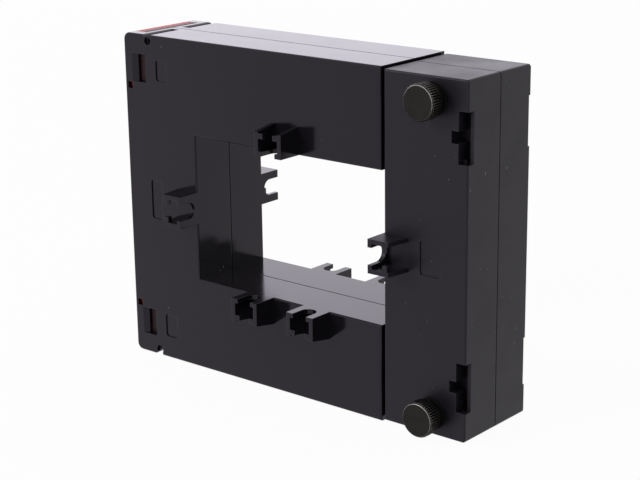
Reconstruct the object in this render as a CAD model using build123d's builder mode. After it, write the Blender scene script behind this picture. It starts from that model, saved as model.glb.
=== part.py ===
from build123d import *
import os

# Split-core current transformer for busbars, standing on its long edge.
# X runs from the terminal end to the removable yoke, Y from the front face to the rear face
# and Z is up. The origin is the middle of the bottom resting face, on the parting plane.
# All sizes are millimetres.

# Busbar window and the outline round it
window_w = 80.0
window_h = 50.0
leg_w = 32.3
arm_h = 32.2
yoke_w = 31.0
depth = 33.0
joint_gap = 1.2
yoke_inset = 0.7

# Moulded walls and edges
wall = 2.2
end_wall = 3.0
yoke_wall = 1.8
edge_r = 0.6
corner_r = 2.4
yoke_corner_r = 1.0
seam_w = 0.2
seam_d = 0.6
fit_gap = 0.15
overrun = 1.0

# Terminal end
term_wall = 1.8
term_depth = 10.5
partition = 3.5
end_notch_r = 2.5
slit_x = 0.5
slit_w = 1.8
slit_d = 3.2
keyhole_r = 1.5
keyhole_x = 1.0
keyhole_inset = 2.1
keyhole_deep = 0.9
bridge_w = 5.0
latch_w = 4.5
latch_h = 9.7
latch_x = 5.8
latch_inset = 11.7
ramp_w = 2.1
ramp_d = 1.0
seal_w = 2.3
seal_x = 2.5
seal_inset = 18.0

# Terminal cover
cover_gap = 0.1
tongue_gap = 0.6
cover_face = 1.8
cover_wall = 1.5
cover_deep = 6.6
cover_edge_r = 0.5
tongue_w = 25.0
arm_reach = 10.3
cable_w = 10.0
cable_h = 6.0
cable_inset = 30.0
cable_r = 1.0
cover_seal_w = 1.3

# Busbar clips
clip_w = 11.0
clip_out = 8.3
clip_tip = 7.8
clip_base = 9.2
clip_root = 1.0
clip_plate = 1.5
clip_wall = 1.45
nut_gap = 4.2
ledge_d = 1.7
ledge_reach = 1.9
notch_w = 5.6
notch_floor = 1.2
clip_pitch = 24.0

# Magnetic core
core_w = 12.0
core_stack = 16.0
core_r = 3.0
core_pad_w = 6.0
core_pad_h = 25.0
leg_inset = 16.0
sheet_pitch = 1.0
sheet_groove = 0.2
groove_deep = 0.4

# Coils
bobbin_wall = 1.0
bobbin_gap = 0.2
flange_t = 1.2
flange_reach = 4.6
coil_build = 3.4
coil_r = 2.0
bobbin_start = 2.0
bobbin_end_gap = 3.8
wire_r = 0.6
wire_bend = 2.5

# Lock straps between the body and the yoke
strap_t = 1.5
strap_h = 8.0
strap_y = 10.8
strap_gap = 0.15
strap_seat = 13.0
strap_end = 4.5
strap_r = 1.2
strap_peg_r = 1.25
strap_peg_pitch = 6.0

# Thumb screws
screw_from_joint = 18.3
screw_from_edge = 7.65
screw_r = 2.4
screw_pitch = 0.8
screw_turns = 5
head_r = 5.7
head_l = 4.8
head_chamfer = 0.6
neck_r = 4.7
neck_l = 2.4
knurl_count = 48
knurl_d = 0.25
washer_r = 5.2
washer_t = 0.6
running_gap = 0.05
insert_r = 3.2
insert_l = 8.0
peen_r = 2.85
peen_l = 1.0
boss_r = 4.2
boss_hole_gap = 0.35

# Feet slots on the yoke's outer corners
foot_slot_h = 16.0
foot_slot_w = 3.5
foot_slot_d = 3.0
foot_slot_rear_d = 1.1
foot_slot_deep = 5.5
foot_slot_lip = 1.2
foot_branch_w = 2.5
foot_branch_h = 3.8
foot_slot_offset = 39.0
slot_wall = 1.8

# Yoke spring
spring_t = 0.5
spring_w = 12.0
spring_span = 64.0
spring_bow = 2.6
rib_w = 6.0

# Terminals
terminal_inset = 12.0
carrier_t = 1.5
carrier_w = 18.0
bar_t = 1.5
bar_w = 12.0
bar_tail = 6.0
tail_edge = 1.5
clamp_t = 0.8
clamp_w = 9.0
clamp_chamfer = 0.2
terminal_r = 1.0
carrier_margin = 1.0
term_screw_r = 1.95
term_head_r = 3.6
term_head_l = 2.4
term_head_chamfer = 0.4
term_slot_w = 0.9
term_slot_d = 1.1

# Recessed marking panels
panel_d = 0.4
panel_r = 1.0
upper_panel_x = 17.4
upper_panel_inset = 11.9
upper_panel_w = 5.0
upper_panel_h = 7.2
lower_panel_x = 17.8
lower_panel_inset = 12.0
lower_panel_w = 5.6
lower_panel_h = 8.2
side_panel_x = 13.1
side_panel_w = 5.0
side_panel_h = 13.8
yoke_panel_x = 17.5
yoke_panel_w = 7.8
yoke_panel_h = 11.2

# Pegs along the parting plane
peg_r = 0.8
peg_l = 2.5
peg_pitch = 25.0

# Places worked out from the sizes above
length = leg_w + window_w + yoke_w
height = window_h + 2 * arm_h
half = depth / 2
x_left = -length / 2
x_right = length / 2
x_window = x_left + leg_w
x_joint = x_window + window_w
x_end = x_joint - joint_gap
x_partition = x_left + term_depth
x_leg = x_partition + partition
z_mid = height / 2
z_arms = (arm_h / 2, height - arm_h / 2)
y_wall = half - wall
x_pole = x_joint + yoke_wall
x_core_back = x_pole + core_w
x_screw = x_joint + screw_from_joint
z_screws = (screw_from_edge, height - screw_from_edge)
x_bobbin = x_window + bobbin_start
bobbin_length = x_end - strap_seat - bobbin_end_gap - x_bobbin
bobbin_half_y = core_stack / 2 + bobbin_gap + bobbin_wall
bobbin_half_z = core_w / 2 + bobbin_gap + bobbin_wall
screw_travel = screw_pitch * screw_turns
x_bar = x_partition - carrier_t - bar_t
x_clamp = x_bar - clamp_t
z_terminals = (terminal_inset, height - terminal_inset)
lead_y = bar_w / 2 + bar_tail - tail_edge


def edge_side(z):
    """Gives -1 for a place on the lower half of the object and 1 for one on the upper half."""
    return -1 if z < z_mid else 1


def body_corners(x_start, inset):
    """Corners of the main body's U-shaped outline, moved inwards by inset."""
    return [
        (x_start, inset),
        (x_end - inset, inset),
        (x_end - inset, arm_h - inset),
        (x_window - inset, arm_h - inset),
        (x_window - inset, height - arm_h + inset),
        (x_end - inset, height - arm_h + inset),
        (x_end - inset, height - inset),
        (x_start, height - inset),
    ]


def body_outline():
    """Main body's U-shaped outline, with its outer corners rounded."""
    with BuildSketch() as outline:
        with BuildLine():
            Polyline(*body_corners(x_left, 0), close=True)
        make_face()
        fillet(outline.vertices().group_by(Axis.X)[0], corner_r)
    return outline.sketch


def busbar_clip():
    """Nut holder: X along the window wall, Y away from the window, Z out of the housing."""
    pocket_w = clip_w - 2 * clip_wall
    notch_r = notch_w / 2
    with BuildPart() as clip:
        with BuildSketch(Plane.YZ):
            with BuildLine():
                Polyline(
                    (0, -clip_root),
                    (clip_base, -clip_root),
                    (clip_base, 0),
                    (clip_tip, clip_out),
                    (0, clip_out),
                    close=True,
                )
            make_face()
        extrude(amount=clip_w / 2, both=True)
        with BuildSketch(Plane.XY):
            with Locations((0, clip_plate)):
                Rectangle(pocket_w, clip_base, align=(Align.CENTER, Align.MIN))
        extrude(amount=clip_out, mode=Mode.SUBTRACT)
        with BuildSketch(Plane.XY.offset(clip_out - ledge_d)):
            for side in (-1, 1):
                with Locations((side * (pocket_w - ledge_reach) / 2, clip_plate + nut_gap)):
                    Rectangle(ledge_reach, ledge_d, align=(Align.CENTER, Align.MIN))
        extrude(amount=ledge_d)
        with BuildSketch(Plane.XZ):
            with Locations((0, notch_floor + notch_r)):
                Circle(notch_r)
                Rectangle(notch_w, clip_out, align=(Align.CENTER, Align.MIN))
        extrude(amount=clip_plate, both=True, mode=Mode.SUBTRACT)
    return clip.part


def clip_plane(x, z, away):
    """Plane on the front face at the window's edge, with its Y pointing away from the window."""
    outwards = Vector(0, -1, 0)
    return Plane(origin=(x, -half, z), x_dir=Vector(*away).cross(outwards), z_dir=outwards)


clip_shape = busbar_clip()
x_window_mid = (x_window + x_joint) / 2
body_clip_planes = [
    clip_plane(x_window_mid, height - arm_h, (0, 0, 1)),
    clip_plane(x_window_mid - clip_pitch / 2, arm_h, (0, 0, -1)),
    clip_plane(x_window_mid + clip_pitch / 2, arm_h, (0, 0, -1)),
    clip_plane(x_window, z_mid, (-1, 0, 0)),
]
yoke_clip_plane = clip_plane(x_joint, z_mid, (1, 0, 0))
body_outline_shape = body_outline()


def body_half():
    """Front half of the main housing, without the features that differ at the rear."""
    arm_space = [(min(x, x_end - end_wall), z) for x, z in body_corners(x_leg, wall)]
    with BuildPart() as body:
        with BuildSketch(Plane.XZ):
            add(body_outline_shape)
        extrude(amount=half)
        fillet(body.faces().sort_by(Axis.Y)[0].edges(), edge_r)

        # parting line, relieved along every outer edge
        with BuildSketch(Plane.XZ):
            add(body_outline_shape)
            offset(body_outline_shape, -seam_d, mode=Mode.SUBTRACT)
        extrude(amount=seam_w, mode=Mode.SUBTRACT)

        # coil space round the window
        with BuildSketch(Plane.XZ):
            with BuildLine():
                Polyline(*arm_space, close=True)
            make_face()
        extrude(amount=y_wall, mode=Mode.SUBTRACT)

        # terminal compartment, open at the end, and its notches for the cover's tongues
        with BuildSketch(Plane.XZ):
            with Locations((x_left - overrun, z_mid)):
                Rectangle(
                    term_depth + overrun, height - 2 * wall, align=(Align.MIN, Align.CENTER)
                )
        extrude(amount=half - term_wall, mode=Mode.SUBTRACT)
        with BuildSketch(Plane.XZ):
            with Locations((x_left - overrun, z_mid)):
                Rectangle(
                    cover_deep + tongue_gap + overrun,
                    height + 2 * overrun,
                    align=(Align.MIN, Align.CENTER),
                )
        extrude(amount=tongue_w / 2 + cover_gap, mode=Mode.SUBTRACT)

        for z in (0, height):
            side = edge_side(z)
            inward = -side
            keyhole = (x_partition + keyhole_x, z + inward * keyhole_inset)
            # solid corner behind the keyhole
            with BuildSketch(Plane.XZ.offset(half - keyhole_deep - term_wall)):
                with Locations((keyhole[0] - keyhole_r - term_wall, z + inward * wall / 2)):
                    Rectangle(
                        x_leg - keyhole[0] + keyhole_r + term_wall,
                        slit_d + keyhole_r + term_wall - wall / 2,
                        align=(Align.MIN, Align.MIN if inward > 0 else Align.MAX),
                    )
            extrude(amount=keyhole_deep)
            # rounded shoulder and slit that part the terminal end from the body
            with BuildSketch(Plane.XZ.offset(bridge_w / 2)):
                x_slit = x_partition + slit_x
                with Locations((x_slit, z)):
                    Rectangle(2 * end_notch_r, 2 * end_notch_r)
                with Locations((x_slit - end_notch_r, z + inward * end_notch_r)):
                    Circle(end_notch_r, mode=Mode.SUBTRACT)
                with Locations((x_slit + slit_w, z)):
                    Rectangle(
                        2 * end_notch_r,
                        4 * end_notch_r,
                        align=(Align.MIN, Align.CENTER),
                        mode=Mode.SUBTRACT,
                    )
                with Locations((x_slit, z)):
                    Rectangle(slit_w, 2 * slit_d, align=(Align.MIN, Align.CENTER))
            extrude(amount=half, mode=Mode.SUBTRACT)
            with BuildSketch(Plane.XZ.offset(half - keyhole_deep)):
                with Locations(keyhole):
                    Circle(keyhole_r)
            extrude(amount=keyhole_deep + overrun, mode=Mode.SUBTRACT)

        # latch windows with their ramps, and the holes for the seal wire
        for z in (latch_inset, height - latch_inset):
            with BuildSketch(Plane.XZ.offset(half - term_wall)):
                with Locations((x_left + latch_x, z)):
                    Rectangle(latch_w, latch_h, align=(Align.MIN, Align.CENTER))
            extrude(amount=term_wall + overrun, mode=Mode.SUBTRACT)
            with BuildSketch(Plane.XY.offset(z - latch_h / 2)):
                with BuildLine():
                    Polyline(
                        (x_left + latch_x - ramp_w, -half),
                        (x_left + latch_x, -half),
                        (x_left + latch_x, -half + ramp_d),
                        close=True,
                    )
                make_face()
            extrude(amount=latch_h, mode=Mode.SUBTRACT)
        for z in (seal_inset, height - seal_inset):
            with BuildSketch(Plane.XZ.offset(half - term_wall)):
                with Locations((x_left + seal_x, z)):
                    Rectangle(seal_w, seal_w)
            extrude(amount=term_wall + overrun, mode=Mode.SUBTRACT)

        # pads that carry the core's back leg
        with BuildSketch(Plane.XZ.offset(core_stack / 2)):
            with Locations((x_leg, z_mid)):
                Rectangle(core_pad_w, core_pad_h, align=(Align.MIN, Align.CENTER))
        extrude(amount=y_wall - core_stack / 2)

        # openings in the arm ends for the poles
        with BuildSketch(Plane.YZ.offset(x_end - end_wall)):
            for z in z_arms:
                with Locations((0, z)):
                    Rectangle(core_stack + 2 * fit_gap, core_w + 2 * fit_gap)
        extrude(amount=end_wall, mode=Mode.SUBTRACT)

        for plane in body_clip_planes:
            with Locations(plane):
                add(clip_shape)
    return body.part


def seam_pegs():
    """Places of the alignment pegs on the parting plane of the main housing."""
    x_post = x_partition + partition / 2
    return [(x_post, z_mid - peg_pitch), (x_post, z_mid), (x_post, z_mid + peg_pitch)]


body_half_shape = body_half()

with BuildPart() as front_shell:
    add(body_half_shape)
    for z in z_screws:
        # seat and pegs for the lock strap, and its way out through the end of the arm
        side = edge_side(z)
        z_wall = wall if side < 0 else height - wall
        with BuildSketch(Plane.XZ.offset(strap_y + strap_t / 2)):
            with Locations((x_end - strap_seat, z_wall)):
                Rectangle(
                    strap_seat - end_wall,
                    abs(z - z_wall) + strap_h / 2,
                    align=(Align.MIN, Align.MIN if side < 0 else Align.MAX),
                )
        extrude(amount=y_wall - strap_y - strap_t / 2)
        with BuildSketch(Plane.YZ.offset(x_end - end_wall)):
            with Locations((-strap_y, z)):
                Rectangle(strap_t + 2 * strap_gap, strap_h + 2 * strap_gap)
        extrude(amount=end_wall, mode=Mode.SUBTRACT)
        with BuildSketch(Plane.XZ.offset(strap_y - strap_t / 2)):
            with Locations((x_end - strap_seat / 2 - end_wall / 2, z)):
                with GridLocations(strap_peg_pitch, 1, 2, 1):
                    Circle(strap_peg_r)
        extrude(amount=strap_t)
    # recessed marking panels
    for x, z, w, h in (
        (x_left + upper_panel_x, height - upper_panel_inset, upper_panel_w, upper_panel_h),
        (x_left + lower_panel_x, lower_panel_inset, lower_panel_w, lower_panel_h),
        (x_left + side_panel_x, z_mid, side_panel_w, side_panel_h),
    ):
        with BuildSketch(Plane.XZ.offset(half - panel_d)):
            with Locations((x, z)):
                RectangleRounded(w, h, panel_r)
        extrude(amount=panel_d, mode=Mode.SUBTRACT)
    with BuildSketch(Plane.XZ):
        with Locations(*seam_pegs()):
            Circle(peg_r)
    extrude(amount=-peg_l)
front_shell.part.label = "front_shell"

with BuildPart() as rear_shell:
    mirror(body_half_shape, about=Plane.XZ)
    for z in z_screws:
        # rib that holds the lock strap down on its seat
        side = edge_side(z)
        z_wall = wall if side < 0 else height - wall
        with BuildSketch(Plane.XZ.offset(strap_y - strap_t / 2)):
            with Locations((x_end - strap_seat, z_wall)):
                Rectangle(
                    strap_seat - end_wall,
                    abs(z - z_wall),
                    align=(Align.MIN, Align.MIN if side < 0 else Align.MAX),
                )
        extrude(amount=-(strap_y - strap_t / 2 + y_wall))
    with BuildSketch(Plane.XZ):
        with Locations(*seam_pegs()):
            Circle(peg_r + running_gap)
    extrude(amount=-(peg_l + fit_gap), mode=Mode.SUBTRACT)
    # ways for the leads through the partition
    with BuildSketch(Plane.YZ.offset(x_partition)):
        with Locations(*[(lead_y, z) for z in z_terminals]):
            Circle(wire_r + fit_gap)
    extrude(amount=partition, mode=Mode.SUBTRACT)
rear_shell.part.label = "rear_shell"


def foot_slot_places():
    """Heights of the two slots that take a clip-on foot at each outer corner of the yoke."""
    return (z_mid - foot_slot_offset, z_mid + foot_slot_offset)


def yoke_half(slot_d):
    """Front half of the yoke housing, its foot slots slot_d deep at the outer corner."""
    block_w = foot_slot_w + foot_branch_w + slot_wall
    with BuildPart() as yoke:
        with BuildSketch(Plane.XZ) as outline:
            with Locations((x_joint, z_mid)):
                Rectangle(yoke_w, height - 2 * yoke_inset, align=(Align.MIN, Align.CENTER))
            fillet(outline.vertices().group_by(Axis.X)[-1], yoke_corner_r)
        extrude(amount=half)
        fillet(yoke.faces().sort_by(Axis.Y)[0].edges(), edge_r)
        with BuildSketch(Plane.XZ):
            with Locations((x_joint, z_mid)):
                Rectangle(yoke_w, height - 2 * yoke_inset, align=(Align.MIN, Align.CENTER))
            with Locations((x_joint + seam_d, z_mid)):
                Rectangle(
                    yoke_w - 2 * seam_d,
                    height - 2 * yoke_inset - 2 * seam_d,
                    align=(Align.MIN, Align.CENTER),
                    mode=Mode.SUBTRACT,
                )
        extrude(amount=seam_w, mode=Mode.SUBTRACT)
        with BuildSketch(Plane.XZ):
            with Locations((x_joint + yoke_wall, z_mid)):
                Rectangle(
                    yoke_w - yoke_wall - wall,
                    height - 2 * yoke_inset - 2 * wall,
                    align=(Align.MIN, Align.CENTER),
                )
        extrude(amount=y_wall, mode=Mode.SUBTRACT)

        # solid corners behind the foot slots, then the slots
        for z in foot_slot_places():
            with BuildSketch(Plane.XZ.offset(half - foot_slot_deep - slot_wall)):
                with Locations((x_right - wall, z)):
                    Rectangle(
                        block_w - wall,
                        foot_slot_h + 2 * slot_wall,
                        align=(Align.MAX, Align.CENTER),
                    )
            extrude(amount=foot_slot_deep + slot_wall - wall)
            with BuildSketch(Plane.XZ.offset(half - slot_d)):
                with Locations((x_right - foot_slot_w, z)):
                    Rectangle(foot_slot_w + overrun, foot_slot_h, align=(Align.MIN, Align.CENTER))
            extrude(amount=slot_d + overrun, mode=Mode.SUBTRACT)
            with BuildSketch(Plane.XZ.offset(half - foot_slot_deep)):
                with Locations((x_right - foot_slot_w, z)):
                    Rectangle(
                        foot_slot_w - foot_slot_lip,
                        foot_slot_h,
                        align=(Align.MIN, Align.CENTER),
                    )
                    Rectangle(foot_branch_w, foot_branch_h, align=(Align.MAX, Align.CENTER))
            extrude(amount=foot_slot_deep + overrun, mode=Mode.SUBTRACT)

        # ribs behind the ends of the leaf spring and pads beside the core
        with BuildSketch(Plane.XZ):
            for side in (-1, 1):
                with Locations((x_right - wall, z_mid + side * (spring_span - rib_w) / 2)):
                    Rectangle(
                        x_right - wall - x_core_back - spring_t - spring_bow - fit_gap,
                        rib_w,
                        align=(Align.MAX, Align.CENTER),
                    )
        extrude(amount=half - wall)
        with BuildSketch(Plane.XZ.offset(core_stack / 2)):
            with Locations((x_pole, z_mid)):
                Rectangle(core_w, core_pad_h, align=(Align.MIN, Align.CENTER))
        extrude(amount=y_wall - core_stack / 2)

        # openings for the poles of the main core
        with BuildSketch(Plane.YZ.offset(x_joint)):
            for z in z_arms:
                with Locations((0, z)):
                    Rectangle(core_stack + 2 * fit_gap, core_w + 2 * fit_gap)
        extrude(amount=yoke_wall, mode=Mode.SUBTRACT)
        with Locations(yoke_clip_plane):
            add(clip_shape)
    return yoke.part


z_yoke_walls = (yoke_inset + wall, height - yoke_inset - wall)


def screw_boss(z, z_wall):
    """Outline of a thumb screw's boss, joined to the nearest wall by a web."""
    side = edge_side(z)
    with Locations((x_screw, z)):
        Circle(boss_r)
    with Locations((x_screw, z_wall)):
        Rectangle(
            2 * boss_r,
            abs(z - z_wall),
            align=(Align.CENTER, Align.MIN if side < 0 else Align.MAX),
        )


with BuildPart() as yoke_front_shell:
    add(yoke_half(foot_slot_d))
    for z, z_wall in zip(z_screws, z_yoke_walls):
        with BuildSketch(Plane.XZ.offset(strap_y + strap_t / 2 + strap_gap)):
            screw_boss(z, z_wall)
        extrude(amount=y_wall - strap_y - strap_t / 2 - strap_gap)
        with BuildSketch(Plane.XZ.offset(strap_y)):
            with Locations((x_screw, z)):
                Circle(screw_r + boss_hole_gap)
        extrude(amount=half, mode=Mode.SUBTRACT)
        # way in for the lock strap
        with BuildSketch(Plane.YZ.offset(x_joint)):
            with Locations((-strap_y, z)):
                Rectangle(strap_t + 2 * strap_gap, strap_h + 2 * strap_gap)
        extrude(amount=yoke_wall, mode=Mode.SUBTRACT)
    with BuildSketch(Plane.XZ.offset(half - panel_d)):
        with Locations((x_joint + yoke_panel_x, z_mid)):
            RectangleRounded(yoke_panel_w, yoke_panel_h, panel_r)
    extrude(amount=panel_d, mode=Mode.SUBTRACT)
yoke_front_shell.part.label = "yoke_front_shell"

y_insert = strap_y - strap_t / 2 - strap_gap
y_insert_back = y_insert - insert_l

with BuildPart() as yoke_rear_shell:
    mirror(yoke_half(foot_slot_rear_d), about=Plane.XZ)
    for z, z_wall in zip(z_screws, z_yoke_walls):
        with BuildSketch(Plane.XZ.offset(y_insert)):
            screw_boss(z, z_wall)
        extrude(amount=-(y_insert + y_wall))
        with BuildSketch(Plane.XZ.offset(y_insert)):
            with Locations((x_screw, z)):
                Circle(insert_r + running_gap)
        extrude(amount=-insert_l, mode=Mode.SUBTRACT)
        with BuildSketch(Plane.XZ.offset(y_insert_back)):
            with Locations((x_screw, z)):
                Circle(peen_r + fit_gap)
        extrude(amount=-(screw_travel + peen_l + fit_gap), mode=Mode.SUBTRACT)
yoke_rear_shell.part.label = "yoke_rear_shell"

# Laminated cores
x_leg_core = x_left + leg_inset
sheet_count = int(core_stack / sheet_pitch) - 1

with BuildPart() as core_u:
    z_low = z_arms[0] - core_w / 2
    z_high = z_arms[1] + core_w / 2
    with BuildSketch(Plane.XZ) as core_outline:
        with BuildLine():
            Polyline(
                (x_leg_core, z_low),
                (x_pole, z_low),
                (x_pole, z_low + core_w),
                (x_leg_core + core_w, z_low + core_w),
                (x_leg_core + core_w, z_high - core_w),
                (x_pole, z_high - core_w),
                (x_pole, z_high),
                (x_leg_core, z_high),
                close=True,
            )
        make_face()
        fillet(core_outline.vertices().group_by(Axis.X)[0], core_r)
    extrude(amount=core_stack / 2, both=True)
    # edges of the stacked sheets on the pole faces
    with BuildSketch(Plane.YZ.offset(x_pole)):
        for z in z_arms:
            with Locations((0, z)):
                with GridLocations(sheet_pitch, 1, sheet_count, 1):
                    Rectangle(sheet_groove, core_w)
    extrude(amount=-groove_deep, mode=Mode.SUBTRACT)
core_u.part.label = "core_u"

with BuildPart() as yoke_core:
    with BuildSketch(Plane.XZ):
        with Locations((x_pole, z_mid)):
            Rectangle(core_w, z_high - z_low, align=(Align.MIN, Align.CENTER))
    extrude(amount=core_stack / 2, both=True)
    with BuildSketch(Plane.YZ.offset(x_pole)):
        with Locations((0, z_mid)):
            with GridLocations(sheet_pitch, 1, sheet_count, 1):
                Rectangle(sheet_groove, z_high - z_low)
    extrude(amount=groove_deep, mode=Mode.SUBTRACT)
yoke_core.part.label = "yoke_core"

with BuildPart() as yoke_spring:
    bow_x = x_core_back
    end_x = x_core_back + spring_bow
    z_span = spring_span / 2
    with BuildSketch(Plane.XZ):
        with BuildLine():
            inner = ThreePointArc((end_x, z_mid - z_span), (bow_x, z_mid), (end_x, z_mid + z_span))
            outer = ThreePointArc(
                (end_x + spring_t, z_mid - z_span),
                (bow_x + spring_t, z_mid),
                (end_x + spring_t, z_mid + z_span),
            )
            Line(inner @ 0, outer @ 0)
            Line(inner @ 1, outer @ 1)
        make_face()
    extrude(amount=spring_w / 2, both=True)
yoke_spring.part.label = "yoke_spring"


def bobbin(z):
    """Spool that slides over one arm of the core."""
    with BuildPart() as spool:
        with BuildSketch(Plane.YZ.offset(x_bobbin)):
            with Locations((0, z)):
                Rectangle(2 * bobbin_half_y, 2 * bobbin_half_z)
        extrude(amount=bobbin_length)
        with BuildSketch(
            Plane.YZ.offset(x_bobbin), Plane.YZ.offset(x_bobbin + bobbin_length - flange_t)
        ):
            with Locations((0, z)):
                RectangleRounded(
                    2 * (bobbin_half_y + flange_reach),
                    2 * (bobbin_half_z + flange_reach),
                    coil_r,
                )
        extrude(amount=flange_t)
        with BuildSketch(Plane.YZ.offset(x_bobbin)):
            with Locations((0, z)):
                Rectangle(core_stack + 2 * bobbin_gap, core_w + 2 * bobbin_gap)
        extrude(amount=bobbin_length, mode=Mode.SUBTRACT)
    return spool.part


def winding(z):
    """Secondary coil wound between the two flanges of a spool."""
    with BuildPart() as coil:
        with BuildSketch(Plane.YZ.offset(x_bobbin + flange_t)):
            with Locations((0, z)):
                RectangleRounded(
                    2 * (bobbin_half_y + coil_build),
                    2 * (bobbin_half_z + coil_build),
                    coil_r,
                )
                Rectangle(2 * bobbin_half_y, 2 * bobbin_half_z, mode=Mode.SUBTRACT)
        extrude(amount=bobbin_length - 2 * flange_t)
    return coil.part


def lock_strap(z):
    """Steel tongue from the arm into the yoke, with an open fork for the thumb screw."""
    fork_w = 2 * (screw_r + boss_hole_gap)
    x_seat = x_end - strap_seat
    with BuildPart() as strap:
        with BuildSketch(Plane.XZ.offset(strap_y - strap_t / 2)) as blank:
            with Locations((x_seat, z)):
                Rectangle(
                    x_screw + strap_end - x_seat, strap_h, align=(Align.MIN, Align.CENTER)
                )
            fillet(blank.vertices().group_by(Axis.X)[-1], strap_r)
            with Locations((x_screw, z)):
                Circle(fork_w / 2, mode=Mode.SUBTRACT)
                Rectangle(
                    strap_end + overrun,
                    fork_w,
                    align=(Align.MIN, Align.CENTER),
                    mode=Mode.SUBTRACT,
                )
            with Locations((x_end - strap_seat / 2 - end_wall / 2, z)):
                with GridLocations(strap_peg_pitch, 1, 2, 1):
                    Circle(strap_peg_r + running_gap, mode=Mode.SUBTRACT)
        extrude(amount=strap_t)
    return strap.part


def thumb_screw(z):
    """Knurled captive screw, turned about Y."""
    with BuildPart() as screw:
        y_face = half + washer_t
        with BuildSketch(Plane.XZ.offset(y_face + neck_l)):
            with Locations((x_screw, z)):
                Circle(head_r)
        extrude(amount=head_l)
        chamfer(screw.faces().filter_by(Axis.Y).edges(), head_chamfer)
        with BuildSketch(Plane.XZ.offset(y_face + neck_l)):
            with Locations((x_screw, z)):
                with PolarLocations(head_r, knurl_count):
                    Rectangle(2 * knurl_d, 2 * knurl_d, rotation=45)
        extrude(amount=head_l, mode=Mode.SUBTRACT)
        with BuildSketch(Plane.XZ.offset(y_face)):
            with Locations((x_screw, z)):
                Circle(neck_r)
        extrude(amount=neck_l)
        shank_end = y_insert_back - screw_travel
        with BuildSketch(Plane.XZ.offset(shank_end)):
            with Locations((x_screw, z)):
                Circle(screw_r)
        extrude(amount=y_face - shank_end)
        with BuildSketch(Plane.XZ.offset(shank_end)):
            with Locations((x_screw, z)):
                Circle(peen_r)
        extrude(amount=-peen_l)
    return screw.part


def ring(z, y, thick, outer_r, inner_r):
    """Flat ring round a thumb screw's axis, from y towards the rear."""
    with BuildPart() as disc:
        with BuildSketch(Plane.XZ.offset(y)):
            with Locations((x_screw, z)):
                Circle(outer_r)
                Circle(inner_r, mode=Mode.SUBTRACT)
        extrude(amount=-thick)
    return disc.part


def terminal_carrier(z):
    """Moulded block that holds one terminal on the partition."""
    with BuildPart() as block:
        with BuildSketch(Plane.YZ.offset(x_partition - carrier_t)):
            with Locations((0, z)):
                RectangleRounded(carrier_w, bar_w + 2 * carrier_margin, terminal_r)
                Circle(term_screw_r + running_gap, mode=Mode.SUBTRACT)
        extrude(amount=carrier_t)
    return block.part


def terminal_bar(z):
    """Brass terminal with a tail towards the winding's lead."""
    with BuildPart() as bar:
        with BuildSketch(Plane.YZ.offset(x_bar)):
            with Locations((0, z)):
                RectangleRounded(bar_w, bar_w, terminal_r)
                Rectangle(bar_w / 2 + bar_tail, bar_w / 2, align=(Align.MIN, Align.CENTER))
                Circle(term_screw_r + running_gap, mode=Mode.SUBTRACT)
        extrude(amount=bar_t)
    return bar.part


def clamp_plate(z):
    """Square saddle plate under the head of a terminal screw."""
    with BuildPart() as plate:
        with BuildSketch(Plane.YZ.offset(x_clamp)):
            with Locations((0, z)):
                RectangleRounded(clamp_w, clamp_w, terminal_r)
                Circle(term_screw_r + running_gap, mode=Mode.SUBTRACT)
        extrude(amount=clamp_t)
        chamfer(plate.faces().sort_by(Axis.X)[0].edges(), clamp_chamfer)
    return plate.part


def terminal_screw(z):
    """Slotted cheese-head screw, turned about X."""
    with BuildPart() as screw:
        with BuildSketch(Plane.YZ.offset(x_clamp)):
            with Locations((0, z)):
                Circle(term_head_r)
        extrude(amount=-term_head_l)
        chamfer(screw.faces().sort_by(Axis.X)[0].edges(), term_head_chamfer)
        with BuildSketch(Plane.YZ.offset(x_clamp - term_head_l)):
            with Locations((0, z)):
                Rectangle(2 * term_head_r, term_slot_w)
        extrude(amount=term_slot_d, mode=Mode.SUBTRACT)
        with BuildSketch(Plane.YZ.offset(x_clamp)):
            with Locations((0, z)):
                Circle(term_screw_r)
        extrude(amount=clamp_t + bar_t + carrier_t - fit_gap)
    return screw.part


def lead_wire(z_terminal, z_arm):
    """Lead from the spool's flange through the partition to the terminal's tail."""
    x_knee = (x_leg + x_bobbin) / 2
    with BuildPart() as wire:
        with BuildLine() as route:
            FilletPolyline(
                (x_bar + bar_t, lead_y, z_terminal),
                (x_knee - wire_bend, lead_y, z_terminal),
                (x_knee + wire_bend, lead_y, z_arm),
                (x_bobbin, lead_y, z_arm),
                radius=wire_bend,
            )
        with BuildSketch(Plane.YZ.offset(x_bar + bar_t)):
            with Locations((lead_y, z_terminal)):
                Circle(wire_r)
        sweep(path=route.wire())
    return wire.part


with BuildPart() as series_link:
    z_link = z_arms[0] + bobbin_half_z + flange_reach / 2
    x_link = (x_leg_core + core_w + x_window - wall) / 2
    with BuildLine() as link_route:
        FilletPolyline(
            (x_bobbin, 0, z_link),
            (x_link, 0, z_link),
            (x_link, 0, height - z_link),
            (x_bobbin, 0, height - z_link),
            radius=wire_bend,
        )
    with BuildSketch(Plane.YZ.offset(x_bobbin)):
        with Locations((0, z_link)):
            Circle(wire_r)
    sweep(path=link_route.wire())
series_link.part.label = "series_link"

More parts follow.
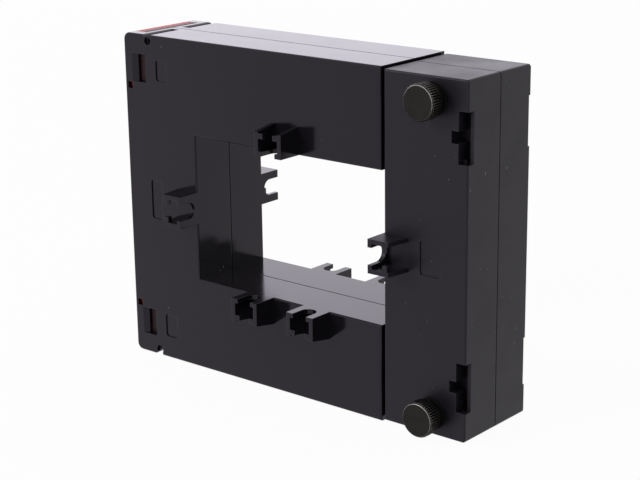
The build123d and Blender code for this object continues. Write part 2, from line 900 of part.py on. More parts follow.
with BuildPart() as terminal_cover:
    cover_half_y = half - term_wall - cover_gap
    cover_z = wall + cover_gap
    with BuildSketch(Plane.YZ.offset(x_left)):
        with Locations((0, z_mid)):
            Rectangle(2 * cover_half_y, height - 2 * cover_z)
            Rectangle(tongue_w, height)
    extrude(amount=cover_deep)
    # tongues rounded like the housing's corners, and softer edges along the front and rear
    tips = terminal_cover.edges().filter_by(Axis.Y).group_by(Axis.X)[0].sort_by(Axis.Z)
    fillet([tips[0], tips[-1]], corner_r)
    long_edges = terminal_cover.edges().filter_by(Axis.Z).group_by(Axis.X)[0]
    fillet(long_edges.group_by(SortBy.LENGTH)[-1], cover_edge_r)
    with BuildSketch(Plane.YZ.offset(x_left + cover_face)):
        with Locations((0, z_mid)):
            Rectangle(2 * (cover_half_y - cover_wall), height - 2 * (cover_z + cover_wall))
    extrude(amount=cover_deep, mode=Mode.SUBTRACT)
    # latch arms along the front and rear walls
    for z in (latch_inset, height - latch_inset):
        with BuildSketch(Plane.XY.offset(z)):
            for side in (-1, 1):
                with Locations((x_left + cover_deep, side * (cover_half_y - cover_wall / 2))):
                    Rectangle(arm_reach - cover_deep, cover_wall, align=(Align.MIN, Align.CENTER))
        extrude(amount=latch_h / 2 - fit_gap, both=True)
    # holes for the seal wire and ways in for the secondary wires
    x_seal = x_left + seal_x + (seal_w - cover_seal_w) / 2
    with BuildSketch(Plane.XZ):
        with Locations((x_seal, seal_inset), (x_seal, height - seal_inset)):
            Rectangle(cover_seal_w, cover_seal_w)
    extrude(amount=half, both=True, mode=Mode.SUBTRACT)
    with BuildSketch(Plane.YZ.offset(x_left)):
        with Locations((0, cable_inset), (0, height - cable_inset)):
            RectangleRounded(cable_w, cable_h, cable_r)
    extrude(amount=cover_face, mode=Mode.SUBTRACT)
terminal_cover.part.label = "terminal_cover"

pieces = [
    front_shell.part,
    rear_shell.part,
    core_u.part,
    series_link.part,
    terminal_cover.part,
    yoke_front_shell.part,
    yoke_rear_shell.part,
    yoke_core.part,
    yoke_spring.part,
]

for i, name in enumerate(("lower", "upper")):
    pairs = {
        "bobbin": bobbin(z_arms[i]),
        "winding": winding(z_arms[i]),
        "lead": lead_wire(z_terminals[i], z_arms[i]),
        "lock_strap": lock_strap(z_screws[i]),
        "thumb_screw": thumb_screw(z_screws[i]),
        "screw_washer": ring(
            z_screws[i], half + washer_t, washer_t, washer_r, screw_r + running_gap
        ),
        "screw_insert": ring(z_screws[i], y_insert, insert_l, insert_r, screw_r + running_gap),
        "terminal_carrier": terminal_carrier(z_terminals[i]),
        "terminal_bar": terminal_bar(z_terminals[i]),
        "clamp_plate": clamp_plate(z_terminals[i]),
        "terminal_screw": terminal_screw(z_terminals[i]),
    }
    for suffix, piece in pairs.items():
        piece.label = name + "_" + suffix
        pieces.append(piece)

os.makedirs("parts", exist_ok=True)
for piece in pieces:
    export_step(piece, "parts/" + piece.label + ".step")
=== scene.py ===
import math

import bmesh
import bpy
from mathutils import Matrix, Vector


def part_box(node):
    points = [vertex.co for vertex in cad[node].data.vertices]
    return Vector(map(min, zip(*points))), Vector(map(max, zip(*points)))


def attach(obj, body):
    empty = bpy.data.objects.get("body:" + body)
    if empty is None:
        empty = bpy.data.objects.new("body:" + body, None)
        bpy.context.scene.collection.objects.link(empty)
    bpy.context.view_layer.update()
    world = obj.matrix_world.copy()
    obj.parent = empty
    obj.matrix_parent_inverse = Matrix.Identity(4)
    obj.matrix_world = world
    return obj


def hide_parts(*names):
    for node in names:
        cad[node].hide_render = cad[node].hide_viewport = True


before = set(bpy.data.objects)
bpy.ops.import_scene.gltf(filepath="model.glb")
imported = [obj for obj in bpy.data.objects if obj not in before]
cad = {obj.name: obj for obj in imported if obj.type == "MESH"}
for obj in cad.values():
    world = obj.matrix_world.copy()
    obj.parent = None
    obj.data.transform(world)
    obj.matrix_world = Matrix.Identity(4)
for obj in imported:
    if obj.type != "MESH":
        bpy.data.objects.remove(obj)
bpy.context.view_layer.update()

# Sizes below are in millimetres and turned to metres where a mesh is finished.
MM = 0.001

# Terminal end of the housing, from which the cover's material measures
X_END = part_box("front_shell")[0].x / MM

# Axes of the thumb screws along X, and their front and rear ends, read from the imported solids
SCREW_X = (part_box("lower_screw_insert")[0].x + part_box("lower_screw_insert")[1].x) / 2 / MM
SCREW_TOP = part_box("lower_thumb_screw")[0].y / MM
SCREW_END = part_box("lower_thumb_screw")[1].y / MM

# Thumb screw, from the front: knurled head, neck, threaded shank and peened end
HEAD_LONG = 4.8
HEAD_R = 5.7
# Its teeth, the flank of a groove, and how far the front chamfer cuts the teeth back
TEETH = 44
KNURL_DEEP = 0.42
FLANK = 0.3
CREST_BACK = 0.2
# Its broken front edge, the dish turned inside that edge, and the ring at its back
RIM_WIDE = 0.16
RIM_DEEP = 0.15
DISH_INSET = 3.4
DISH_DEEP = 0.05
BACK_INSET = 0.35
# Neck, with its foot rounded
NECK_LONG = 2.4
NECK_R = 4.7
FOOT_R = 0.25
# Shank and thread
SHANK_R = 2.4
PITCH = 0.8
THREAD_DEEP = 0.45
# Peened end, with the gap that keeps it clear of the insert's face at full travel
PEEN_LONG = 1.0
PEEN_TIP_R = 2.55
PEEN_ROOT_R = 2.85
PEEN_GAP = 0.06
# The parts of the screw reach this far into one another.
OVERLAP = 0.1


def linear(code):
    """Linear RGBA of a colour written as sRGB hex."""
    parts = [int(code[i : i + 2], 16) / 255 for i in (0, 2, 4)]
    flat = [c / 12.92 if c <= 0.04045 else ((c + 0.055) / 1.055) ** 2.4 for c in parts]
    return (*flat, 1.0)


def add(tree, kind, settings=None, inputs=None):
    """Adds one shader node, with its settings and with values or links on its inputs."""
    made = tree.nodes.new(kind)
    for name, value in (settings or {}).items():
        setattr(made, name, value)
    for name, value in (inputs or {}).items():
        if isinstance(value, bpy.types.NodeSocket):
            tree.links.new(value, made.inputs[name])
        else:
            made.inputs[name].default_value = value
    return made


def begin(name, **sockets):
    """A new material: its tree, its Principled shader and object coordinates in millimetres."""
    material = bpy.data.materials.new(name)
    material.use_nodes = True
    tree = material.node_tree
    shader = tree.nodes["Principled BSDF"]
    for socket, value in sockets.items():
        shader.inputs[socket.replace("_", " ")].default_value = value
    place = add(tree, "ShaderNodeTexCoord").outputs["Object"]
    scaled = add(tree, "ShaderNodeVectorMath", {"operation": "SCALE"}, {0: place, "Scale": 1 / MM})
    return material, tree, shader, scaled.outputs[0]


def outer_corners(tree, reach_mm, high, low):
    """1 on outer corners and 0 elsewhere: only there does the surface close on its inner side."""
    shut = add(tree, "ShaderNodeAmbientOcclusion",
               {"inside": True, "only_local": True, "samples": 8}, {"Distance": reach_mm * MM})
    return add(tree, "ShaderNodeMapRange", None,
               {"Value": shut.outputs["AO"], "From Min": high, "From Max": low}).outputs[0]


def moulded_polyamide(name, smooth, rough, dust_mm):
    """Black glass-filled polyamide moulded in a fine spark-eroded tool: a deep black with a satin
    skin that mirrors a pale room where it is seen at a shallow angle, and a little dust."""
    material, tree, shader, place = begin(name, IOR=1.5)
    shader.inputs["Specular IOR Level"].default_value = 0.275
    shader.inputs["Specular Tint"].default_value = linear("F6EAFF")
    # slow change of tone from the flow of the melt, about 30 mm across
    flow = add(tree, "ShaderNodeTexNoise", None, {"Vector": place, "Scale": 1 / 30, "Detail": 3.0})
    tone = add(tree, "ShaderNodeMix", {"data_type": "RGBA"},
               {0: flow.outputs[0], 6: linear("0F0D11"), 7: linear("151317")})
    # outer corners are rubbed paler and catch light as if rounded by 0.25 mm
    rub = outer_corners(tree, 0.3, 0.92, 0.5)
    worn = add(tree, "ShaderNodeMix", {"data_type": "RGBA"},
               {0: rub, 6: tone.outputs[2], 7: linear("222126")})
    soft = add(tree, "ShaderNodeBevel", {"samples": 6}, {"Radius": 0.25 * MM})
    flat = add(tree, "ShaderNodeNewGeometry")
    eased = add(tree, "ShaderNodeMix", {"data_type": "VECTOR"},
                {0: rub, 4: flat.outputs["Normal"], 5: soft.outputs[0]})
    # dust specks up to 0.4 mm and lint up to 1.5 mm, each cell with a size of its own or none,
    # thicker where the part has been handled
    hands = add(tree, "ShaderNodeTexNoise", None, {"Vector": place, "Scale": 1 / 12, "Detail": 4.0})
    handled = add(tree, "ShaderNodeMapRange", None,
                  {"Value": hands.outputs[0], "From Min": 0.42, "From Max": 0.6, "To Min": 0.55})
    fallen = []
    dots, upright_lint, level_lint = (1, 1, 1), (1, 1, 0.26), (0.3, 1, 1)
    for cell_mm, spread in ((dust_mm, dots), (1.4 * dust_mm, upright_lint),
                            (1.7 * dust_mm, level_lint)):
        drawn = add(tree, "ShaderNodeVectorMath", {"operation": "MULTIPLY"}, {0: place, 1: spread})
        specks = add(tree, "ShaderNodeTexVoronoi", None,
                     {"Vector": drawn.outputs[0], "Scale": 1 / cell_mm})
        reach = add(tree, "ShaderNodeMapRange", None,
                    {"Value": specks.outputs["Color"], "From Min": 0.45, "From Max": 0.95,
                     "To Max": 0.24 / cell_mm})
        inside = add(tree, "ShaderNodeMath", {"operation": "SUBTRACT"},
                     {0: reach.outputs[0], 1: specks.outputs["Distance"]})
        fallen.append(add(tree, "ShaderNodeMapRange", None,
                          {"Value": inside.outputs[0], "From Min": -0.002, "From Max": 0.012,
                           "To Max": 0.6}))
    dots_lint = add(tree, "ShaderNodeMath", {"operation": "MAXIMUM"},
                    {0: fallen[0].outputs[0], 1: fallen[1].outputs[0]})
    all_dust = add(tree, "ShaderNodeMath", {"operation": "MAXIMUM"},
                   {0: dots_lint.outputs[0], 1: fallen[2].outputs[0]})
    dust = add(tree, "ShaderNodeMath", {"operation": "MULTIPLY"},
               {0: all_dust.outputs[0], 1: handled.outputs[0]})
    shown = add(tree, "ShaderNodeMix", {"data_type": "RGBA"},
                {0: dust.outputs[0], 6: worn.outputs[2], 7: linear("A5A3A8")})
    tree.links.new(shown.outputs[2], shader.inputs["Base Color"])
    # gloss wanders a little with handling, about 12 mm across
    gloss = add(tree, "ShaderNodeMapRange", None,
                {"Value": hands.outputs[0], "From Min": 0.3, "From Max": 0.7,
                 "To Min": smooth, "To Max": rough})
    tree.links.new(gloss.outputs[0], shader.inputs["Roughness"])
    # the eroded skin's pits are about 0.1 mm and are drawn at 0.3 mm, so that they show
    pits = add(tree, "ShaderNodeTexNoise", None, {"Vector": place, "Scale": 1 / 0.3, "Detail": 2.0})
    skin = add(tree, "ShaderNodeBump", None,
               {"Height": pits.outputs[0], "Strength": 0.25, "Distance": 0.02 * MM,
                "Normal": eased.outputs[1]})
    tree.links.new(skin.outputs[0], shader.inputs["Normal"])
    return material


def tinted_polycarbonate():
    """Clear red polycarbonate cover: red, painted deep red where shade falls on it, and pink where
    it shines.
    """
    material, tree, shader, place = begin("clear_red_polycarbonate", IOR=1.585)
    shader.inputs["Specular IOR Level"].default_value = 0.1
    flow = add(tree, "ShaderNodeTexNoise", None, {"Vector": place, "Scale": 1 / 9, "Detail": 2.0})
    lit = add(tree, "ShaderNodeMix", {"data_type": "RGBA"},
              {0: flow.outputs[0], 6: linear("E8363A"), 7: linear("F04648")})
    # painted shade: the colour is painted deep red past the skirt's end, on the latch arms, and
    # where the cover's own surfaces close round a point within 2 mm, as in the walls of the seal
    # holes and in inner corners
    axes = add(tree, "ShaderNodeSeparateXYZ", None, {0: place})
    arms_painted_shade = add(tree, "ShaderNodeMapRange", None,
               {"Value": axes.outputs[0], "From Min": X_END + 3.8, "From Max": X_END + 5.8})
    air = add(tree, "ShaderNodeAmbientOcclusion", {"only_local": True, "samples": 8},
              {"Distance": 2 * MM})
    holes_painted_shade = add(tree, "ShaderNodeMapRange", None,
                {"Value": air.outputs["AO"], "From Min": 0.9, "From Max": 0.55})
    deep = add(tree, "ShaderNodeMath", {"operation": "MAXIMUM"},
               {0: arms_painted_shade.outputs[0], 1: holes_painted_shade.outputs[0]})
    # the painted shade mixes the lit red towards a near-black red
    tone = add(tree, "ShaderNodeMix", {"data_type": "RGBA"},
               {0: deep.outputs[0], 6: lit.outputs[2], 7: linear("1E060A")})
    tree.links.new(tone.outputs[2], shader.inputs["Base Color"])
    # the same painted shade also makes the plastic less clear there
    clear = add(tree, "ShaderNodeMapRange", None,
                {"Value": deep.outputs[0], "To Min": 0.5, "To Max": 0.15})
    tree.links.new(clear.outputs[0], shader.inputs["Transmission Weight"])
    gloss = add(tree, "ShaderNodeMapRange", None,
                {"Value": flow.outputs[0], "To Min": 0.4, "To Max": 0.5})
    tree.links.new(gloss.outputs[0], shader.inputs["Roughness"])
    ripple = add(tree, "ShaderNodeTexNoise", None,
                 {"Vector": place, "Scale": 1 / 1.4, "Detail": 1.0})
    skin = add(tree, "ShaderNodeBump", None,
               {"Height": ripple.outputs[0], "Strength": 0.08, "Distance": 0.01 * MM})
    tree.links.new(skin.outputs[0], shader.inputs["Normal"])
    return material


def blackened_brass():
    """Turned brass, chemically blackened: brown black, with the brass showing through where the
    knurl and the front rim are rubbed. That showing metal is also a painted highlight, weighted
    towards upward faces and the front of the head, and fading towards its back and on faces turning
    down."""
    material, tree, shader, place = begin("blackened_turned_brass", Metallic=1.0)
    bloom = add(tree, "ShaderNodeTexNoise", None,
                {"Vector": place, "Scale": 1 / 2.5, "Detail": 5.0})
    tone = add(tree, "ShaderNodeMix", {"data_type": "RGBA"},
               {0: bloom.outputs[0], 6: linear("232120"), 7: linear("2D2B2A")})
    rub = outer_corners(tree, 0.16, 0.85, 0.6)
    patch = add(tree, "ShaderNodeMapRange", None,
                {"Value": bloom.outputs[0], "From Min": 0.35, "From Max": 0.5, "To Min": 0.5})
    axes = add(tree, "ShaderNodeSeparateXYZ", None, {0: place})
    # painted highlight: the showing metal fades from the front of the head to its back
    depth = add(tree, "ShaderNodeMapRange", None,
                {"Value": axes.outputs[1], "From Min": SCREW_TOP + 0.3, "From Max": SCREW_TOP + 3.9,
                 "To Min": 1.0, "To Max": 0.15})
    # the chamfer round the front face, behind the dish and told by its depth, is rubbed all along
    rim_start = add(tree, "ShaderNodeMapRange", None,
                    {"Value": axes.outputs[1], "From Min": SCREW_TOP + DISH_DEEP + 0.01,
                     "From Max": SCREW_TOP + DISH_DEEP + 0.02})
    rim = add(tree, "ShaderNodeMapRange", None,
              {"Value": axes.outputs[1], "From Min": SCREW_TOP + RIM_DEEP + 0.02,
               "From Max": SCREW_TOP + RIM_DEEP - 0.01, "To Max": 0.6})
    chamfer = add(tree, "ShaderNodeMath", {"operation": "MULTIPLY"},
                  {0: rim_start.outputs[0], 1: rim.outputs[0]})
    rubbed = add(tree, "ShaderNodeMath", {"operation": "MAXIMUM"}, {0: rub, 1: chamfer.outputs[0]})
    flat = add(tree, "ShaderNodeNewGeometry")
    # painted highlight: faces turning up show more metal than faces turning down
    facing_up = add(tree, "ShaderNodeSeparateXYZ", None, {0: flat.outputs["True Normal"]})
    upper = add(tree, "ShaderNodeMapRange", None,
                {"Value": facing_up.outputs[2], "From Min": -0.4, "From Max": 0.3, "To Min": 0.2})
    side = add(tree, "ShaderNodeMath", {"operation": "MULTIPLY"},
               {0: upper.outputs[0], 1: depth.outputs[0]})
    # rubbed patches, weighted by the painted highlight
    worn = add(tree, "ShaderNodeMath", {"operation": "MULTIPLY"},
               {0: patch.outputs[0], 1: side.outputs[0]})
    bare_and_highlight = add(tree, "ShaderNodeMath", {"operation": "MULTIPLY"},
               {0: rubbed.outputs[0], 1: worn.outputs[0]})
    shown = add(tree, "ShaderNodeMix", {"data_type": "RGBA"},
                {0: bare_and_highlight.outputs[0], 6: tone.outputs[2], 7: linear("E2DFD8")})
    tree.links.new(shown.outputs[2], shader.inputs["Base Color"])
    gloss = add(tree, "ShaderNodeMapRange", None,
                {"Value": bloom.outputs[0], "To Min": 0.42, "To Max": 0.58})
    tree.links.new(gloss.outputs[0], shader.inputs["Roughness"])
    grain = add(tree, "ShaderNodeTexNoise", None,
                {"Vector": place, "Scale": 1 / 0.25, "Detail": 3.0})
    skin = add(tree, "ShaderNodeBump", None,
               {"Height": grain.outputs[0], "Strength": 0.2, "Distance": 0.015 * MM})
    tree.links.new(skin.outputs[0], shader.inputs["Normal"])
    return material


def plain_metal(name, light, dark, rough, grain_mm):
    """Drawn or rolled metal with a fine grain: two tones of one colour and a wandering gloss."""
    material, tree, shader, place = begin(name, Metallic=1.0)
    grain = add(tree, "ShaderNodeTexNoise", None,
                {"Vector": place, "Scale": 1 / grain_mm, "Detail": 6.0})
    tone = add(tree, "ShaderNodeMix", {"data_type": "RGBA"},
               {0: grain.outputs[0], 6: linear(dark), 7: linear(light)})
    tree.links.new(tone.outputs[2], shader.inputs["Base Color"])
    gloss = add(tree, "ShaderNodeMapRange", None,
                {"Value": grain.outputs[0], "To Min": rough - 0.08, "To Max": rough + 0.1})
    tree.links.new(gloss.outputs[0], shader.inputs["Roughness"])
    skin = add(tree, "ShaderNodeBump", None,
               {"Height": grain.outputs[0], "Strength": 0.15, "Distance": 0.01 * MM})
    tree.links.new(skin.outputs[0], shader.inputs["Normal"])
    return material


def sheet_steel_stack():
    """Grain-oriented silicon steel in varnished 0.5 mm sheets, stacked along Y."""
    material, tree, shader, place = begin("laminated_silicon_steel", Metallic=1.0)
    axes = add(tree, "ShaderNodeSeparateXYZ", None, {0: place})
    saw = add(tree, "ShaderNodeMath", {"operation": "PINGPONG"}, {0: axes.outputs[1], 1: 0.25})
    joint = add(tree, "ShaderNodeMapRange", None,
                {"Value": saw.outputs[0], "From Min": 0.05, "From Max": 0.09})
    varnish = add(tree, "ShaderNodeTexNoise", None,
                  {"Vector": place, "Scale": 1 / 4, "Detail": 5.0})
    sheet = add(tree, "ShaderNodeMix", {"data_type": "RGBA"},
                {0: varnish.outputs[0], 6: linear("6F7072"), 7: linear("93928F")})
    tone = add(tree, "ShaderNodeMix", {"data_type": "RGBA"},
               {0: joint.outputs[0], 6: linear("2B2724"), 7: sheet.outputs[2]})
    tree.links.new(tone.outputs[2], shader.inputs["Base Color"])
    gloss = add(tree, "ShaderNodeMapRange", None,
                {"Value": varnish.outputs[0], "To Min": 0.3, "To Max": 0.5})
    tree.links.new(gloss.outputs[0], shader.inputs["Roughness"])
    skin = add(tree, "ShaderNodeBump", None,
               {"Height": joint.outputs[0], "Strength": 0.6, "Distance": 0.03 * MM})
    tree.links.new(skin.outputs[0], shader.inputs["Normal"])
    return material


def enamelled_copper():
    """Enamelled copper wire, 0.5 mm thick, wound turn by turn along X."""
    material, tree, shader, place = begin("enamelled_copper_wire", Metallic=1.0)
    axes = add(tree, "ShaderNodeSeparateXYZ", None, {0: place})
    turns = add(tree, "ShaderNodeMath", {"operation": "PINGPONG"}, {0: axes.outputs[0], 1: 0.25})
    round_wire = add(tree, "ShaderNodeMapRange", {"interpolation_type": "SMOOTHSTEP"},
                     {"Value": turns.outputs[0], "From Max": 0.22})
    # painted shade: the colour darkens towards the grooves between turns
    tone = add(tree, "ShaderNodeMix", {"data_type": "RGBA"},
               {0: round_wire.outputs[0], 6: linear("4A1E12"), 7: linear("B5582F")})
    tree.links.new(tone.outputs[2], shader.inputs["Base Color"])
    gloss = add(tree, "ShaderNodeMapRange", None,
                {"Value": round_wire.outputs[0], "To Min": 0.5, "To Max": 0.25})
    tree.links.new(gloss.outputs[0], shader.inputs["Roughness"])
    skin = add(tree, "ShaderNodeBump", None,
               {"Height": round_wire.outputs[0], "Strength": 0.8, "Distance": 0.12 * MM})
    tree.links.new(skin.outputs[0], shader.inputs["Normal"])
    return material


def plain_plastic(name, light, dark, rough):
    """Injection-moulded technical plastic with a slightly uneven tone and skin."""
    material, tree, shader, place = begin(name, IOR=1.5)
    flow = add(tree, "ShaderNodeTexNoise", None, {"Vector": place, "Scale": 1 / 5, "Detail": 4.0})
    tone = add(tree, "ShaderNodeMix", {"data_type": "RGBA"},
               {0: flow.outputs[0], 6: linear(dark), 7: linear(light)})
    tree.links.new(tone.outputs[2], shader.inputs["Base Color"])
    gloss = add(tree, "ShaderNodeMapRange", None,
                {"Value": flow.outputs[0], "To Min": rough - 0.06, "To Max": rough + 0.06})
    tree.links.new(gloss.outputs[0], shader.inputs["Roughness"])
    grain = add(tree, "ShaderNodeTexNoise", None,
                {"Vector": place, "Scale": 1 / 0.35, "Detail": 2.0})
    skin = add(tree, "ShaderNodeBump", None,
               {"Height": grain.outputs[0], "Strength": 0.2, "Distance": 0.02 * MM})
    tree.links.new(skin.outputs[0], shader.inputs["Normal"])
    return material


housing = moulded_polyamide("black_moulded_polyamide", 0.12, 0.16, 3.0)
# the yoke comes from a second tool with a slightly coarser skin, and is handled more
yoke_housing = moulded_polyamide("black_moulded_polyamide_coarse", 0.36, 0.44, 2.6)
knob_brass = blackened_brass()
red_cover = tinted_polycarbonate()
core_steel = sheet_steel_stack()
copper = enamelled_copper()
# zinc plating has a cool grey with a faint spangle about 1 mm across
zinc = plain_metal("zinc_plated_steel", "C3C6CA", "9A9EA4", 0.34, 1.0)
spring_steel = plain_metal("blued_spring_steel", "5A626E", "3C4350", 0.3, 2.0)
brass = plain_metal("bright_terminal_brass", "D8B567", "B48E45", 0.3, 0.8)
natural_nylon = plain_plastic("natural_nylon", "E3DCC8", "D2C9B2", 0.5)
grey_polyamide = plain_plastic("grey_moulded_polyamide", "55575C", "46484D", 0.5)
black_fibre = plain_plastic("black_fibre_washer", "121111", "0B0B0B", 0.8)
black_fibre.node_tree.nodes["Principled BSDF"].inputs["Specular IOR Level"].default_value = 0.1

finish = {
    "front_shell": housing,
    "rear_shell": housing,
    "yoke_front_shell": yoke_housing,
    "yoke_rear_shell": yoke_housing,
    "terminal_cover": red_cover,
    "core_u": core_steel,
    "yoke_core": core_steel,
    "yoke_spring": spring_steel,
    "series_link": copper,
}
for side in ("lower", "upper"):
    finish.update(
        {
            side + "_bobbin": natural_nylon,
            side + "_winding": copper,
            side + "_lead": copper,
            side + "_lock_strap": zinc,
            side + "_thumb_screw": knob_brass,
            side + "_screw_washer": black_fibre,
            side + "_screw_insert": brass,
            side + "_terminal_carrier": grey_polyamide,
            side + "_terminal_bar": brass,
            side + "_clamp_plate": zinc,
            side + "_terminal_screw": zinc,
        }
    )
for name, material in finish.items():
    cad[name].data.materials.clear()
    cad[name].data.materials.append(material)


def in_order(bm):
    """Sorts edges and faces by their corners, as from the spin on their order varies by run."""
    bm.verts.index_update()
    for parts in (bm.edges, bm.faces):
        ranked = sorted(parts, key=lambda part: sorted(v.index for v in part.verts))
        rank = {part: i for i, part in enumerate(ranked)}
        parts.sort(key=rank.get)


def finished(bm, name, material, body, stands_for):
    """Turns a bmesh in millimetres into a piece that rides on a body and stands for CAD nodes."""
    bmesh.ops.remove_doubles(bm, verts=bm.verts, dist=0.002)
    bmesh.ops.recalc_face_normals(bm, faces=bm.faces)
    in_order(bm)
    bmesh.ops.scale(bm, vec=(MM, MM, MM), verts=bm.verts)
    mesh = bpy.data.meshes.new(name)
    bm.to_mesh(mesh)
    bm.free()
    mesh.materials.append(material)
    piece = bpy.data.objects.new(name, mesh)
    bpy.context.scene.collection.objects.link(piece)
    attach(piece, body)
    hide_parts(*stands_for)


def facing(bm, faces, direction):
    """The faces, out of some, whose normals point along a direction."""
    bm.normal_update()
    return [f for f in faces if f.normal.dot(Vector(direction)) > 0.99]


def knurled_head(bm):
    """Head made in an empty bmesh, along +Z from z = 0: a straight knurl with a broken edge."""
    valley_r = HEAD_R - KNURL_DEEP
    barrel_long = HEAD_LONG - RIM_DEEP
    bmesh.ops.create_cone(bm, cap_ends=True, segments=TEETH, radius1=valley_r,
                          radius2=valley_r, depth=barrel_long)
    bmesh.ops.translate(bm, verts=bm.verts, vec=(0, 0, barrel_long / 2))
    # lists in the mesh's own order, since the order of a set differs from run to run
    made = list(bm.faces)
    sides = [f for f in made if abs(f.normal.z) < 0.5]
    front = facing(bm, made, (0, 0, 1))
    back = facing(bm, made, (0, 0, -1))
    bmesh.ops.inset_individual(bm, faces=sides, thickness=FLANK, depth=KNURL_DEEP,
                               use_even_offset=True)
    # the chamfer on the front edge cuts the teeth back
    crests = [v for v in bm.verts
              if v.co.xy.length > valley_r + KNURL_DEEP / 2 and v.co.z > HEAD_LONG / 2]
    bmesh.ops.translate(bm, verts=crests, vec=(0, 0, -CREST_BACK))
    # broken front edge, then the shallow dish left by the lathe's facing cut
    bmesh.ops.inset_region(bm, faces=front, thickness=RIM_WIDE, depth=RIM_DEEP)
    bmesh.ops.inset_region(bm, faces=front, thickness=DISH_INSET, depth=-DISH_DEEP)
    bmesh.ops.inset_region(bm, faces=back, thickness=BACK_INSET, depth=0.0)


def threaded_shank(bm, start, end):
    """Thread along Z from start to end: a zigzag spun once with one pitch of rise."""
    root_r = SHANK_R - THREAD_DEEP
    turns = math.ceil((end - start) / PITCH) + 2
    first = bm.verts.new((root_r, 0, start - PITCH))
    line = [first]
    for i in range(turns):
        foot = start + (i - 1) * PITCH
        # narrow flats on the crest and in the root, as shares of the pitch
        for radius, rise in ((SHANK_R, 0.4), (SHANK_R, 0.5), (root_r, 0.9), (root_r, 1.0)):
            line.append(bm.verts.new((radius, 0, foot + rise * PITCH)))
    edges = [bm.edges.new(pair) for pair in zip(line, line[1:])]
    steps = 36
    bmesh.ops.spin(bm, geom=line + edges, cent=(0, 0, 0), axis=(0, 0, 1),
                   dvec=(0, 0, PITCH / steps), angle=2 * math.pi, steps=steps, use_merge=False,
                   use_duplicate=False)
    in_order(bm)
    bmesh.ops.remove_doubles(bm, verts=bm.verts, dist=0.004)
    for at, outwards in ((start, -1), (end, 1)):
        everything = list(bm.verts) + list(bm.edges) + list(bm.faces)
        bmesh.ops.bisect_plane(bm, geom=everything, dist=0.0005, plane_co=(0, 0, at),
                               plane_no=(0, 0, outwards), clear_outer=True)
    rims = [e for e in bm.edges if e.is_boundary]
    bmesh.ops.holes_fill(bm, edges=rims, sides=0)


def thumb_screw(name, z):
    """Captive knurled screw, made along +Z with its neck's foot at 0, then turned to the front."""
    bm = bmesh.new()
    shank_long = SCREW_END - SCREW_TOP - HEAD_LONG - NECK_LONG - PEEN_LONG
    threaded_shank(bm, -shank_long - OVERLAP, OVERLAP)
    neck = bmesh.ops.create_cone(bm, cap_ends=True, segments=64, radius1=NECK_R, radius2=NECK_R,
                                 depth=NECK_LONG + OVERLAP)
    bmesh.ops.translate(bm, verts=neck["verts"], vec=(0, 0, (NECK_LONG + OVERLAP) / 2))
    neck_verts = set(neck["verts"])
    foot = [e for e in bm.edges if all(v in neck_verts and v.co.z < 0.01 for v in e.verts)]
    bmesh.ops.bevel(bm, geom=foot, offset=FOOT_R, segments=3, affect="EDGES", profile=0.5,
                    material=-1)
    peen = bmesh.ops.create_cone(bm, cap_ends=True, segments=40, radius1=PEEN_TIP_R,
                                 radius2=PEEN_ROOT_R, depth=PEEN_LONG - PEEN_GAP)
    bmesh.ops.translate(bm, verts=peen["verts"],
                        vec=(0, 0, -shank_long - (PEEN_LONG + PEEN_GAP) / 2))
    head = bmesh.new()
    knurled_head(head)
    bmesh.ops.translate(head, verts=head.verts, vec=(0, 0, NECK_LONG))
    joined = bpy.data.meshes.new(name + "_head")
    head.to_mesh(joined)
    head.free()
    bm.from_mesh(joined)
    bpy.data.meshes.remove(joined)
    bmesh.ops.rotate(bm, verts=bm.verts, cent=(0, 0, 0),
                     matrix=Matrix.Rotation(math.pi / 2, 3, "X"))
    bmesh.ops.translate(bm, verts=bm.verts, vec=(SCREW_X, SCREW_TOP + HEAD_LONG + NECK_LONG, z))
    return bm


for side in ("lower", "upper"):
    low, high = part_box(side + "_thumb_screw")
    finished(thumb_screw(side, (low.z + high.z) / 2 / MM), side + "_knurled_screw", knob_brass,
             side + "_thumb_screw", (side + "_thumb_screw",))


# Floor, light and camera
def white_where_seen(tree, amount, shade, output):
    """Shows plain white to the camera, to gloss and through clear parts, and lights as the shade.

    The amount is the share of white, and the rest keeps the object's shadow."""
    path = add(tree, "ShaderNodeLightPath")
    either = add(tree, "ShaderNodeMath", {"operation": "MAXIMUM"},
                 {0: path.outputs["Is Camera Ray"], 1: path.outputs["Is Glossy Ray"]})
    seen = add(tree, "ShaderNodeMath", {"operation": "MAXIMUM"},
               {0: either.outputs[0], 1: path.outputs["Is Transmission Ray"]})
    share = add(tree, "ShaderNodeMath", {"operation": "MULTIPLY"}, {0: seen.outputs[0], 1: amount})
    on_paper = output.node.type == "OUTPUT_MATERIAL"
    white = add(tree, "ShaderNodeEmission" if on_paper else "ShaderNodeBackground", None,
                {"Strength": 1.0, "Color": (1, 1, 1, 1)})
    both = add(tree, "ShaderNodeMixShader", None,
               {0: share.outputs[0], 1: shade, 2: white.outputs[0]})
    tree.links.new(both.outputs[0], output)


world = bpy.data.worlds.new("studio")
bpy.context.scene.world = world
world.use_nodes = True
ambient = world.node_tree.nodes["Background"]
ambient.inputs["Color"].default_value = linear("F4F4F8")
ambient.inputs["Strength"].default_value = 0.55
white_where_seen(world.node_tree, 1.0, ambient.outputs[0],
                 world.node_tree.nodes["World Output"].inputs[0])

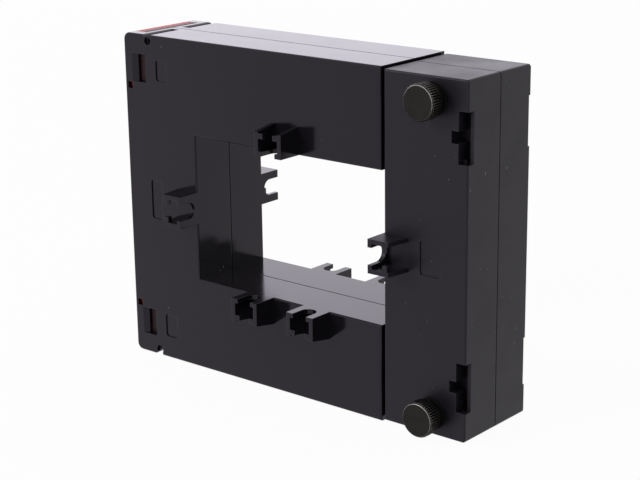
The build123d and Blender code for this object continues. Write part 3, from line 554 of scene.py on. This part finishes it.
FLOOR_HALF_M = 4.0
FLOOR_GAP = 0.4
floor_mesh = bmesh.new()
bmesh.ops.create_grid(floor_mesh, x_segments=1, y_segments=1, size=FLOOR_HALF_M)
bmesh.ops.translate(floor_mesh, verts=floor_mesh.verts, vec=(0, 0, -FLOOR_GAP * MM))
floor_data = bpy.data.meshes.new("studio_floor")
floor_mesh.to_mesh(floor_data)
floor_mesh.free()
floor = bpy.data.objects.new("studio_floor", floor_data)
bpy.context.scene.collection.objects.link(floor)
paper = bpy.data.materials.new("white_paper")
paper.use_nodes = True
paper_shader = paper.node_tree.nodes["Principled BSDF"]
paper_shader.inputs["Base Color"].default_value = linear("F4F4F4")
paper_shader.inputs["Roughness"].default_value = 0.9
paper_shader.inputs["Specular IOR Level"].default_value = 0.1
white_where_seen(paper.node_tree, 0.96, paper_shader.outputs[0],
                 paper.node_tree.nodes["Material Output"].inputs[0])
floor_data.materials.append(paper)


def softbox(name, place, aim, wide, high, power, tint):
    """A rectangular studio lamp that points at aim."""
    lamp = bpy.data.lights.new(name, "AREA")
    lamp.shape = "RECTANGLE"
    lamp.size = wide
    lamp.size_y = high
    lamp.energy = power
    lamp.color = linear(tint)[:3]
    made = bpy.data.objects.new(name, lamp)
    made.location = place
    made.rotation_euler = (Vector(place) - Vector(aim)).to_track_quat("Z", "Y").to_euler()
    made.visible_camera = False
    bpy.context.scene.collection.objects.link(made)


middle = (0.0, 0.0, 0.055)
# low and wide behind the object on the left: its shine is what turns the top faces pale
softbox("rear_softbox", (-1.05, 1.0, 0.52), middle, 1.3, 0.75, 2.65, "EFE7FF")
# key from the front left, which throws the knobs' shadows to the right
softbox("key_softbox", (-0.55, -1.2, 0.75), middle, 0.5, 0.5, 9.0, "FFFFFF")

# lens, place and turn come from a fit to the photo's straight edges
view = bpy.data.cameras.new("photo_camera")
view.lens = 93.43
view.sensor_width = 36.0
view.clip_start = 0.05
camera = bpy.data.objects.new("photo_camera", view)
camera.location = (0.34215, -0.40479, 0.20417)
camera.rotation_euler = (math.radians(73.7101), math.radians(0.7485), math.radians(39.9142))
bpy.context.scene.collection.objects.link(camera)
bpy.context.scene.camera = camera
bpy.context.scene.view_settings.view_transform = "Standard"
